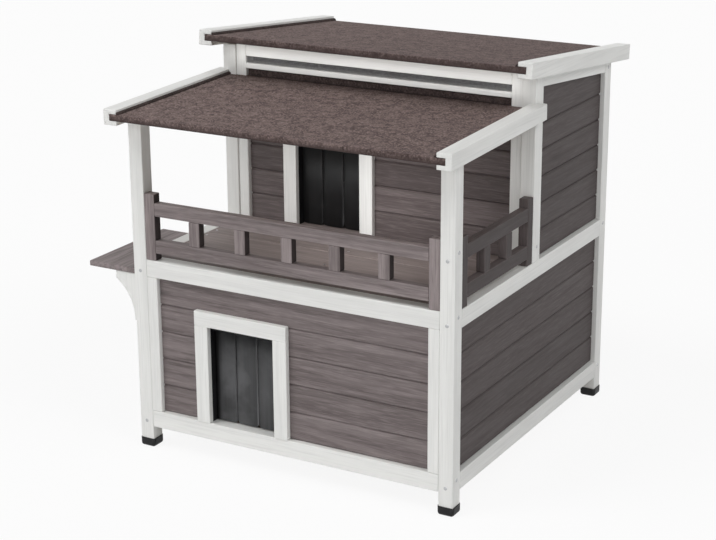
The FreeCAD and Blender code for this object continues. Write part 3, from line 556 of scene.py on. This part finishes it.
def extent(part):
    """The low and the high corner of a solid."""
    low = Vector(min(vert.co[axis] for vert in part.verts) for axis in range(3))
    high = Vector(max(vert.co[axis] for vert in part.verts) for axis in range(3))
    return low, high


def extents_of(node):
    """The corners of each solid of a CAD node."""
    found = []
    for part in solids_of(node):
        found.append(extent(part))
        part.free()
    return found


def longest(sides):
    """The axis along which a box is longest."""
    return max(range(3), key=lambda axis: sides[axis])


def largest_face(part, direction):
    """The largest face that looks in a direction."""
    facing = [face for face in part.faces if face.normal.dot(direction) > FACING]
    return max(facing, key=lambda face: face.calc_area())


def points_of(made):
    """The points among what an operator made."""
    return [item for item in made["geom"] if isinstance(item, bmesh.types.BMVert)]


def turn_from_up(direction):
    return UP.rotation_difference(direction).to_matrix().to_4x4()


def round_edges(part, edges, width, segments):
    made = bmesh.ops.bevel(
        part, geom=edges, offset=width, offset_type="OFFSET", segments=segments, profile=0.5,
        affect="EDGES", clamp_overlap=True, material=-1)
    return made["faces"]


def ease(part, width, segments=2):
    """Rounds the outer edges of a solid and keeps its curved faces smooth."""
    for face in part.faces:
        if any(CURVED < edge.calc_face_angle(0.0) < SHARP for edge in face.edges):
            face.smooth = True
    edges = [edge for edge in part.edges if edge.is_convex and edge.calc_face_angle(0.0) > SHARP]
    for face in round_edges(part, edges, width, segments):
        face.smooth = True
    return part


def cuboid(low, high):
    part = bmesh.new()
    scale = Matrix.Diagonal((*(high - low), 1.0))
    bmesh.ops.create_cube(part, size=1.0, matrix=Matrix.Translation((low + high) / 2) @ scale)
    return part


def rod(start, end, radius):
    """A thin wire from start to end."""
    part = bmesh.new()
    along = end - start
    bmesh.ops.create_cone(
        part, cap_ends=True, segments=WIRE_SIDES, radius1=radius, radius2=radius, depth=along.length,
        matrix=Matrix.Translation((start + end) / 2) @ turn_from_up(along))
    return part


# Pieces

def body_of(node):
    return frame["nodes"][node]["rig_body"]


def new_piece(name, parts, slot, body, nodes=(), material=None, darker=None):
    """Joins solids into one piece, with the grain's direction and a tone kept for each solid.

    darker is a function of a point that adds to the tone there.
    """
    dice = random.Random(name)
    depth = max((DEPTH.get(node, PLAIN_DEPTH) for node in nodes), default=PLAIN_DEPTH)
    whole = bmesh.new()
    grain, tone = [], []
    for part in parts:
        low, high = extent(part)
        along = longest(high - low)
        order = (along, (along + 1) % 3, (along + 2) % 3)
        shift = [dice.uniform(0.0, GRAIN_SHIFT) for _ in order]
        shade = depth + TONE_SPREAD * dice.random()
        for vert in part.verts:
            grain.extend(vert.co[axis] + move for axis, move in zip(order, shift))
            tone.append(min(1.0, shade + (darker(vert.co) if darker else 0.0)))
        loose = bpy.data.meshes.new(name)
        part.to_mesh(loose)
        part.free()
        whole.from_mesh(loose)
        bpy.data.meshes.remove(loose)
    mesh = bpy.data.meshes.new(name)
    whole.to_mesh(mesh)
    whole.free()
    mesh.attributes.new("grain", "FLOAT_VECTOR", "POINT").data.foreach_set("vector", grain)
    mesh.attributes.new("tone", "FLOAT", "POINT").data.foreach_set("value", tone)
    mesh.materials.append(material or finish(slot))
    made = bpy.data.objects.new(name, mesh)
    bpy.context.scene.collection.objects.link(made)
    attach(made, body)
    if nodes:
        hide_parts(*nodes)
    return made


def dress(node, parts, darker=None):
    """The finished piece that stands for a CAD node."""
    slot = SLOT[node]
    return new_piece(f"{WORD[slot]}_{node}", parts, slot, body_of(node), (node,), darker=darker)


def dress_eased(nodes, width):
    for node in nodes:
        dress(node, [ease(part, width) for part in solids_of(node)])


def foot_cap(low, high, sizes):
    """A cup with rounded outer edges, open at the top for the post's foot."""
    part = cuboid(low, high)
    rim = high.z - SAME_POINT
    outer = [edge for edge in part.edges if not all(vert.co.z > rim for vert in edge.verts)]
    for face in round_edges(part, outer, sizes.cap_edge, CAP_SEGMENTS):
        face.smooth = True
    top = [face for face in part.faces if face.normal.dot(UP) > FACING]
    bmesh.ops.inset_region(part, faces=top, thickness=sizes.cap_wall)
    mouth = bmesh.ops.extrude_face_region(part, geom=top)
    sunk = (0.0, 0.0, low.z + sizes.cap_floor - high.z)
    bmesh.ops.translate(part, verts=points_of(mouth), vec=sunk)
    bmesh.ops.recalc_face_normals(part, faces=part.faces)
    return part


def curtain_strip(low, high, sizes):
    """A hanging strip with rounded lower corners that bows a little across its width."""
    part = cuboid(low, high)
    lower = [edge for edge in part.edges
             if all(vert.co.z < low.z + SAME_POINT for vert in edge.verts)
             and abs(edge.verts[0].co.y - edge.verts[1].co.y) > SAME_POINT]
    round_edges(part, lower, sizes.strip_corner, CORNER_SEGMENTS)
    middle, half = (low.x + high.x) / 2, (high.x - low.x) / 2
    for cut in range(1, STRIP_CUTS):
        line = low.x + (high.x - low.x) * cut / STRIP_CUTS
        everything = part.verts[:] + part.edges[:] + part.faces[:]
        bmesh.ops.bisect_plane(
            part, geom=everything, plane_co=(line, 0.0, 0.0), plane_no=(1.0, 0.0, 0.0))
    for vert in part.verts:
        vert.co.y -= sizes.strip_bow * (1.0 - ((vert.co.x - middle) / half) ** 2)
    for face in part.faces:
        face.smooth = abs(face.normal.y) > SIDEWAYS
    return part


def strip_shade(node, low, high):
    """Paints shade on a strip towards its header and beside the left lining, and a painted highlight on
    its right cut edge.
    """
    def shade(point):
        shade_above = HANG_SHADE * (point.z - low.z) / (high.z - low.z)
        beside = max(0.0, 1.0 - (point.x - low.x) / LINING_SHADOW) if node in FIRST_STRIPS else 0.0
        highlight = EDGE_HIGHLIGHT[node] if point.x > high.x - SAME_POINT else 0.0
        return shade_above + beside - highlight

    return shade


def upright_shade(parts):
    """Darkens the right sides of a railing's uprights with painted shade, as they face away from the
    light.
    """
    corners = [extent(part) for part in parts]
    sides = [high.x for low, high in corners if high.z - low.z > high.x - low.x]

    def shade(point):
        return SHADED_SIDE_DEPTH if any(abs(point.x - side) < SAME_POINT for side in sides) else 0.0

    return shade


def felt_shade(sheet, fold):
    """Darkens a felt with painted shade down its front fold, and a little to the right."""
    low, high = extent(sheet)
    top = largest_face(sheet, UP)
    up, place = top.normal.copy(), top.calc_center_bounds()

    def shade(point):
        below = (place - point).dot(up) / fold
        across = (point.x - low.x) / (high.x - low.x)
        return FOLD_SHADE * min(1.0, max(0.0, below)) + FELT_SHADE_LEAN * across

    return shade


def screw_head(place, outward, radius, height, recess):
    """A domed head with a cross in it, facing outward from the point that it sits on."""
    part = bmesh.new()
    points = [part.verts.new((radius * out, 0.0, height * up)) for out, up in HEAD_PROFILE]
    edges = [part.edges.new(pair) for pair in zip(points, points[1:])]
    bmesh.ops.spin(
        part, geom=points + edges, cent=(0.0, 0.0, 0.0), axis=UP, angle=2 * math.pi,
        steps=HEAD_STEPS, use_merge=True, use_duplicate=False)
    bmesh.ops.remove_doubles(part, verts=part.verts, dist=SAME_POINT)
    rim = [edge for edge in part.edges if edge.is_boundary]
    bmesh.ops.contextual_create(part, geom=rim)
    bmesh.ops.recalc_face_normals(part, faces=part.faces)
    for face in part.faces:
        face.smooth = face.normal.z > -SIDEWAYS
    cross = [face for face in part.faces if face.normal.z > HEAD_TOP and in_cross(face, radius)]
    sunk = bmesh.ops.extrude_face_region(part, geom=cross)
    bmesh.ops.translate(part, verts=points_of(sunk), vec=(0.0, 0.0, -recess))
    bmesh.ops.transform(
        part, matrix=Matrix.Translation(place) @ turn_from_up(outward), verts=part.verts)
    return part


def in_cross(face, radius):
    """Whether a face of an upright screw head lies in the hub or an arm of the cross."""
    middle = face.calc_center_median()
    spread = math.hypot(middle.x, middle.y)
    turn = math.degrees(math.atan2(middle.y, middle.x)) % 90.0
    arm = turn < CROSS_ARM or turn > 90.0 - CROSS_ARM
    return spread < CROSS_HUB * radius or (arm and spread < CROSS_REACH * radius)


def frame_screw(solid, recess):
    """The head and the shank of one frame screw, from the CAD solid of the whole screw."""
    low, high = extent(solid)
    sides = high - low
    along = longest(sides)
    middle = (low + high) / 2
    radius = max(sides[axis] for axis in range(3) if axis != along) / 2

    def spread(vert):
        away = vert.co - middle
        away[along] = 0.0
        return away.length

    wide = [vert.co[along] for vert in solid.verts if spread(vert) > HEAD_RIM * radius]
    solid.free()
    inner, outer = min(wide), max(wide)
    sign = 1.0 if (inner + outer) / 2 > middle[along] else -1.0
    seat = middle.copy()
    seat[along] = inner if sign > 0 else outer
    outward = Vector((0.0, 0.0, 0.0))
    outward[along] = sign
    driven = (seat[along] - low[along]) if sign > 0 else (high[along] - seat[along])
    spot = seat - outward * (driven / 2 - SHANK_LAP)
    thick = SHANK_SHARE * radius
    shank = bmesh.new()
    bmesh.ops.create_cone(
        shank, cap_ends=True, segments=SHANK_SIDES, radius1=SHANK_TIP * thick, radius2=thick,
        depth=driven, matrix=Matrix.Translation(spot) @ turn_from_up(outward))
    return [screw_head(seat, outward, radius, outer - inner, recess), shank]


def leaf_screws(node, outward, radius, recess):
    """Three screw heads on the plate of each hinge leaf."""
    parts = []
    for leaf in solids_of(node):
        middle = largest_face(leaf, outward).calc_center_bounds()
        low, high = extent(leaf)
        leaf.free()
        for share in LEAF_SCREWS:
            place = Vector((low.x + (high.x - low.x) * share, middle.y, middle.z))
            sunk = place - LEAF_HEAD_SINK * outward
            parts.append(screw_head(sunk, outward, radius, LEAF_HEAD_HIGH, recess * LEAF_RECESS))
    return parts


def bead(start, end, inward, up, radius):
    """A quarter-round bead laid in a corner from start to end."""
    part = bmesh.new()
    angles = [math.pi / 2 * turn / BEAD_TURNS for turn in range(BEAD_TURNS + 1)]
    rim = [start + radius * (math.cos(turn) * inward + math.sin(turn) * up) for turn in angles]
    section = part.faces.new([part.verts.new(point) for point in (start, *rim)])
    drawn = bmesh.ops.extrude_face_region(part, geom=[section])
    bmesh.ops.translate(part, verts=points_of(drawn), vec=end - start)
    bmesh.ops.recalc_face_normals(part, faces=part.faces)
    return part


def felt_seals(roof, radius):
    """Beads of dark bitumen along the sides of a roof's felt, where it goes under the barge battens;
    their dark line is also painted shade on the inner faces of the barge battens.
    """
    sheet = solids_of(f"{roof}_felt")[0]
    top = largest_face(sheet, UP)
    up = top.normal.copy()
    corners = [vert.co.copy() for vert in top.verts]
    sheet.free()
    front = min(corners, key=lambda corner: corner.y)
    rear = max(corners, key=lambda corner: corner.y)
    barges = extents_of(f"{roof}_barges")
    middle = sum(low.x + high.x for low, high in barges) / (2 * len(barges))
    parts = []
    for low, high in barges:
        on_left = high.x < middle
        line = high.x if on_left else low.x
        inward = Vector((1.0 if on_left else -1.0, 0.0, 0.0))
        start, end = Vector((line, front.y, front.z)), Vector((line, rear.y, rear.z))
        parts.append(bead(start, end, inward, up, radius))
    return parts


def felt_upstand(sizes):
    """The felt led back to the upper boards and turned up against them, as far as the vent rail; its
    dark bitumen also paints the shade under the vent rail.
    """
    rail_low, rail_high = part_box("vent_rail_bar")
    felt_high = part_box("balcony_roof_felt")[1]
    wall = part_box("upper_front_boards")[0].y
    under = felt_high.z - sizes.upstand_thick
    face = wall - sizes.upstand_thick
    flange = cuboid(Vector((rail_low.x, felt_high.y, under)), Vector((rail_high.x, wall, felt_high.z)))
    leg = cuboid(Vector((rail_low.x, face, under)), Vector((rail_high.x, wall, rail_low.z)))
    return [ease(part, sizes.board_edge) for part in (flange, leg)]


def even_places(first, last, pitch):
    """Evenly spread places between two sides, about one pitch apart."""
    count = max(2, round((last - first) / pitch))
    return [first + (last - first) * (step + 0.5) / count for step in range(count)]


class CATHOUSE_OT_frame(bpy.types.Operator):
    """Ease and paint the posts, rails and stiles of the frame"""
    bl_idname = "cathouse.frame"
    bl_label = "Posts and rails"

    def execute(self, context):
        dress_eased(POSTS_AND_RAILS, context.scene.cathouse_sizes.timber_edge)
        return {"FINISHED"}


class CATHOUSE_OT_boards(bpy.types.Operator):
    """Ease and stain the grooved wall boards"""
    bl_idname = "cathouse.boards"
    bl_label = "Wall boards"

    def execute(self, context):
        dress_eased(WALL_BOARDS, context.scene.cathouse_sizes.board_edge)
        return {"FINISHED"}


class CATHOUSE_OT_floors(bpy.types.Operator):
    """Ease the floor panel, the bearers and the deck planks, and drive the deck screws"""
    bl_idname = "cathouse.floors"
    bl_label = "Floors and deck"

    def execute(self, context):
        sizes = context.scene.cathouse_sizes
        dress_eased(FLOORS, sizes.deck_edge)
        recess = sizes.recess_deep * PLANK_RECESS
        bearers = extents_of("deck_bearers")
        heads = []
        for plank_low, plank_high in extents_of("deck_planks"):
            for low, high in bearers:
                for share in PLANK_SCREWS:
                    y = plank_low.y + (plank_high.y - plank_low.y) * share
                    place = Vector(((low.x + high.x) / 2, y, plank_high.z - PLANK_HEAD_SINK))
                    heads.append(screw_head(place, UP, sizes.deck_screw, PLANK_HEAD_HIGH, recess))
        new_piece("deck_screws", heads, "zinc_steel", body_of("deck_planks"))
        return {"FINISHED"}


class CATHOUSE_OT_doorways(bpy.types.Operator):
    """Ease the door trim, the linings and the bars that the strips hang from"""
    bl_idname = "cathouse.doorways"
    bl_label = "Doorways"

    def execute(self, context):
        dress_eased(DOOR_FRAMES, context.scene.cathouse_sizes.timber_edge * DOOR_EDGE_SHARE)
        return {"FINISHED"}


class CATHOUSE_OT_strips(bpy.types.Operator):
    """Hang the smoky strips in both doorways"""
    bl_idname = "cathouse.strips"
    bl_label = "Strip curtains"

    def execute(self, context):
        sizes = context.scene.cathouse_sizes
        for node in STRIPS:
            low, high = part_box(node)
            dress(node, [curtain_strip(low, high, sizes)], strip_shade(node, low, high))
        return {"FINISHED"}


class CATHOUSE_OT_railings(bpy.types.Operator):
    """Ease and stain the two balcony railings"""
    bl_idname = "cathouse.railings"
    bl_label = "Railings"

    def execute(self, context):
        width = context.scene.cathouse_sizes.timber_edge
        for node in RAILINGS:
            parts = solids_of(node)
            shade = upright_shade(parts)
            dress(node, [ease(part, width) for part in parts], shade)
        return {"FINISHED"}


class CATHOUSE_OT_roofs(bpy.types.Operator):
    """Make both roofs: panels, barge battens, beams and gritted felt with its seals"""
    bl_idname = "cathouse.roofs"
    bl_label = "Roofs"

    def execute(self, context):
        sizes = context.scene.cathouse_sizes
        colours = context.scene.cathouse_colours
        dress_eased(ROOF_TIMBER, sizes.timber_edge)
        for roof in ROOFS:
            sheet = solids_of(f"{roof}_felt")[0]
            shade = felt_shade(sheet, sizes.felt_fold)
            dress(f"{roof}_felt", [ease(sheet, sizes.felt_edge, FELT_SEGMENTS)], shade)
        # The seals and the upstand are dark bitumen, which also paints the shade along the barge battens
        # and under the vent rail
        dark = tuple(colours.felt_dark)
        bitumen = mineral_felt("bitumen_finish", dark, times(0.4, dark), times(0.6, colours.roof_felt))
        for roof in ROOFS:
            beads = felt_seals(roof, sizes.felt_seal)
            body = body_of(f"{roof}_felt")
            new_piece(f"{roof}_felt_seals", beads, "roof_felt", body, material=bitumen)
        turned_up = felt_upstand(sizes)
        new_piece("felt_upstand", turned_up, "roof_felt", body_of("balcony_roof_felt"), material=bitumen)
        return {"FINISHED"}


class CATHOUSE_OT_vent(bpy.types.Operator):
    """Set the welded wire mesh in the vent slot under the lid"""
    bl_idname = "cathouse.vent"
    bl_label = "Vent mesh"

    def execute(self, context):
        sizes = context.scene.cathouse_sizes
        grip = sizes.mesh_grip
        rail_low, rail_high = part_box("vent_rail_bar")
        low = Vector((rail_low.x, rail_low.y + sizes.mesh_back, rail_high.z))
        high = Vector((rail_high.x, low.y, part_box("head_rail")[0].z))
        wires = []
        for x in even_places(low.x, high.x, sizes.mesh_pitch):
            start, end = Vector((x, low.y, low.z - grip)), Vector((x, low.y, high.z + grip))
            wires.append(rod(start, end, sizes.mesh_wire))
        behind = low.y + 2 * sizes.mesh_wire
        for z in even_places(low.z, high.z, sizes.mesh_pitch):
            start, end = Vector((low.x - grip, behind, z)), Vector((high.x + grip, behind, z))
            wires.append(rod(start, end, sizes.mesh_wire))
        new_piece("vent_mesh", wires, "zinc_steel", body_of("vent_rail_bar"))
        return {"FINISHED"}


class CATHOUSE_OT_hinges(bpy.types.Operator):
    """Plate the lid's hinges and drive their screws"""
    bl_idname = "cathouse.hinges"
    bl_label = "Lid hinges"

    def execute(self, context):
        sizes = context.scene.cathouse_sizes
        dress_eased(HINGES, sizes.metal_edge)
        for node, outward in LEAF_FACES.items():
            heads = leaf_screws(node, outward, sizes.hinge_screw, sizes.recess_deep)
            new_piece(f"{node}_screws", heads, "zinc_steel", body_of(node))
        return {"FINISHED"}


class CATHOUSE_OT_step(bpy.types.Operator):
    """Ease the jump step and its brackets"""
    bl_idname = "cathouse.step"
    bl_label = "Jump step"

    def execute(self, context):
        dress_eased(STEP, context.scene.cathouse_sizes.timber_edge)
        return {"FINISHED"}


class CATHOUSE_OT_foot_caps(bpy.types.Operator):
    """Mould the black caps on the feet"""
    bl_idname = "cathouse.foot_caps"
    bl_label = "Foot caps"

    def execute(self, context):
        sizes = context.scene.cathouse_sizes
        dress("foot_caps", [foot_cap(low, high, sizes) for low, high in extents_of("foot_caps")])
        return {"FINISHED"}


class CATHOUSE_OT_screws(bpy.types.Operator):
    """Drive the frame screws, with a cross in each head"""
    bl_idname = "cathouse.screws"
    bl_label = "Frame screws"

    def execute(self, context):
        recess = context.scene.cathouse_sizes.recess_deep
        parts = []
        for solid in solids_of("frame_screws"):
            parts.extend(frame_screw(solid, recess))
        dress("frame_screws", parts)
        return {"FINISHED"}


class CATHOUSE_OT_stage(bpy.types.Operator):
    """Set the pale floor, the soft lights and the camera"""
    bl_idname = "cathouse.stage"
    bl_label = "Stage"

    def execute(self, context):
        scene = context.scene
        stage = scene.cathouse_stage
        scene.view_settings.view_transform = "Standard"
        self.floor(scene, stage)
        self.room(scene, stage)
        for name, (toward, degrees) in SUNS.items():
            self.sun(scene, f"{name}_light", getattr(stage, f"{name}_power"), toward, degrees)
        self.balcony_light(scene, stage)
        self.lid_light(scene, stage)
        self.camera(scene, stage)
        return {"FINISHED"}

    def show_white(self, owner, lit, white, share, out_kind):
        """Shows a share of white to the camera and in shiny pieces, and lights with the other shader."""
        path = add(owner, "ShaderNodeLightPath")
        seen = path.outputs["Is Camera Ray"]
        for name in ("Is Glossy Ray", "Is Transmission Ray"):
            seen = reckon(owner, "MAXIMUM", seen, path.outputs[name])
        both = add(owner, "ShaderNodeMixShader")
        join(owner, reckon(owner, "MULTIPLY", seen, share), both.inputs[0])
        join(owner, lit.outputs[0], both.inputs[1])
        join(owner, white.outputs[0], both.inputs[2])
        join(owner, both.outputs[0], add(owner, out_kind).inputs["Surface"])

    def floor(self, scene, stage):
        part = bmesh.new()
        bmesh.ops.create_grid(part, x_segments=1, y_segments=1, size=stage.floor_wide / 2)
        bmesh.ops.translate(part, verts=part.verts, vec=(0.0, 0.0, -FLOOR_DROP))
        mesh = bpy.data.meshes.new("pale_floor")
        part.to_mesh(mesh)
        part.free()
        material = bpy.data.materials.new("pale_floor")
        material.use_nodes = True
        material.node_tree.nodes.clear()
        matt = add(material, "ShaderNodeBsdfDiffuse")
        matt.inputs["Color"].default_value = FLOOR_COLOUR
        white = add(material, "ShaderNodeEmission")
        self.show_white(material, matt, white, FLOOR_WHITE, "ShaderNodeOutputMaterial")
        mesh.materials.append(material)
        made = bpy.data.objects.new("pale_floor", mesh)
        scene.collection.objects.link(made)

    def room(self, scene, stage):
        world = bpy.data.worlds.new("pale_room")
        world.use_nodes = True
        world.node_tree.nodes.clear()
        even = add(world, "ShaderNodeBackground")
        even.inputs["Strength"].default_value = stage.room_light
        white = add(world, "ShaderNodeBackground")
        for shade in (even, white):
            shade.inputs["Color"].default_value = WHITE
        self.show_white(world, even, white, 1.0, "ShaderNodeOutputWorld")
        scene.world = world

    def hang(self, scene, name, data, toward):
        """Hangs a lamp that shines from the direction given."""
        made = bpy.data.objects.new(name, data)
        made.rotation_euler = Vector(toward).to_track_quat("Z", "Y").to_euler()
        scene.collection.objects.link(made)
        return made

    def sun(self, scene, name, energy, toward, degrees):
        data = bpy.data.lights.new(name, "SUN")
        data.energy = energy
        data.angle = math.radians(degrees)
        self.hang(scene, name, data, toward)

    def eave_lamp(self, scene, name, energy, place, sides, toward):
        """A lamp under the front edge of a roof, unseen by the camera and in reflections."""
        data = bpy.data.lights.new(name, "AREA")
        data.shape = "RECTANGLE"
        data.size, data.size_y = sides
        data.energy = energy
        data.spread = EAVE_SPREAD
        made = self.hang(scene, name, data, toward)
        made.location = place
        made.visible_camera = False
        made.visible_glossy = False

    def balcony_light(self, scene, stage):
        """A wide lamp below the front beam of the balcony roof that looks at the upper wall."""
        low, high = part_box("balcony_roof_panel")
        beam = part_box("balcony_roof_beams")[0]
        tall, wide = 0.05, 0.5 * (high.x - low.x)
        place = ((low.x + high.x) / 2, beam.y, beam.z - tall)
        self.eave_lamp(scene, "balcony_light", stage.balcony_power, place, (wide, tall), BALCONY_AIM)

    def lid_light(self, scene, stage):
        """A wide lamp under the front of the lid that looks at the rails of the vent slot."""
        low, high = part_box("upper_front_stiles")
        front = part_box("lid_panel")[0].y
        tall, behind = 0.02, 0.01
        place = ((low.x + high.x) / 2, front + behind, high.z - tall)
        self.eave_lamp(scene, "lid_light", stage.lid_power, place, (high.x - low.x, tall), LID_AIM)

    def camera(self, scene, stage):
        data = bpy.data.cameras.new("photo_camera")
        data.sensor_fit = "HORIZONTAL"
        data.sensor_width = SENSOR_WIDE
        data.lens = stage.lens
        data.clip_end = FAR
        made = bpy.data.objects.new("photo_camera", data)
        turn = (Matrix.Rotation(stage.camera_turn, 4, "Z")
                @ Matrix.Rotation(math.pi / 2 - stage.camera_dip, 4, "X")
                @ Matrix.Rotation(stage.camera_tilt, 4, "Z"))
        made.matrix_world = Matrix.Translation(stage.camera_place) @ turn
        scene.collection.objects.link(made)
        scene.camera = made


# Add-on

GROUPS = {
    "cathouse_sizes": CATHOUSE_PG_sizes,
    "cathouse_colours": CATHOUSE_PG_colours,
    "cathouse_stage": CATHOUSE_PG_stage,
}
OPERATORS = (
    CATHOUSE_OT_frame, CATHOUSE_OT_boards, CATHOUSE_OT_floors, CATHOUSE_OT_doorways, CATHOUSE_OT_strips,
    CATHOUSE_OT_railings, CATHOUSE_OT_roofs, CATHOUSE_OT_vent, CATHOUSE_OT_hinges, CATHOUSE_OT_step,
    CATHOUSE_OT_foot_caps, CATHOUSE_OT_screws, CATHOUSE_OT_stage,
)


class CATHOUSE_PT_panel(bpy.types.Panel):
    """Sizes, colours and pieces of the cat house"""
    bl_idname = "CATHOUSE_PT_panel"
    bl_label = "Cat House"
    bl_space_type = "VIEW_3D"
    bl_region_type = "UI"
    bl_category = "Cat House"

    def draw(self, context):
        for key, group in GROUPS.items():
            box = self.layout.box()
            for name in group.__annotations__:
                box.prop(getattr(context.scene, key), name)
        for operator in OPERATORS:
            self.layout.operator(operator.bl_idname)


def register():
    for made in (*GROUPS.values(), *OPERATORS, CATHOUSE_PT_panel):
        bpy.utils.register_class(made)
    for key, group in GROUPS.items():
        setattr(bpy.types.Scene, key, bpy.props.PointerProperty(type=group))


def unregister():
    for key in GROUPS:
        delattr(bpy.types.Scene, key)
    for made in (CATHOUSE_PT_panel, *reversed(OPERATORS), *reversed(GROUPS.values())):
        bpy.utils.unregister_class(made)


def main():
    register()
    for operator in OPERATORS:
        area, action = operator.bl_idname.split(".")
        getattr(getattr(bpy.ops, area), action)()


if __name__ == "__main__":
    main()
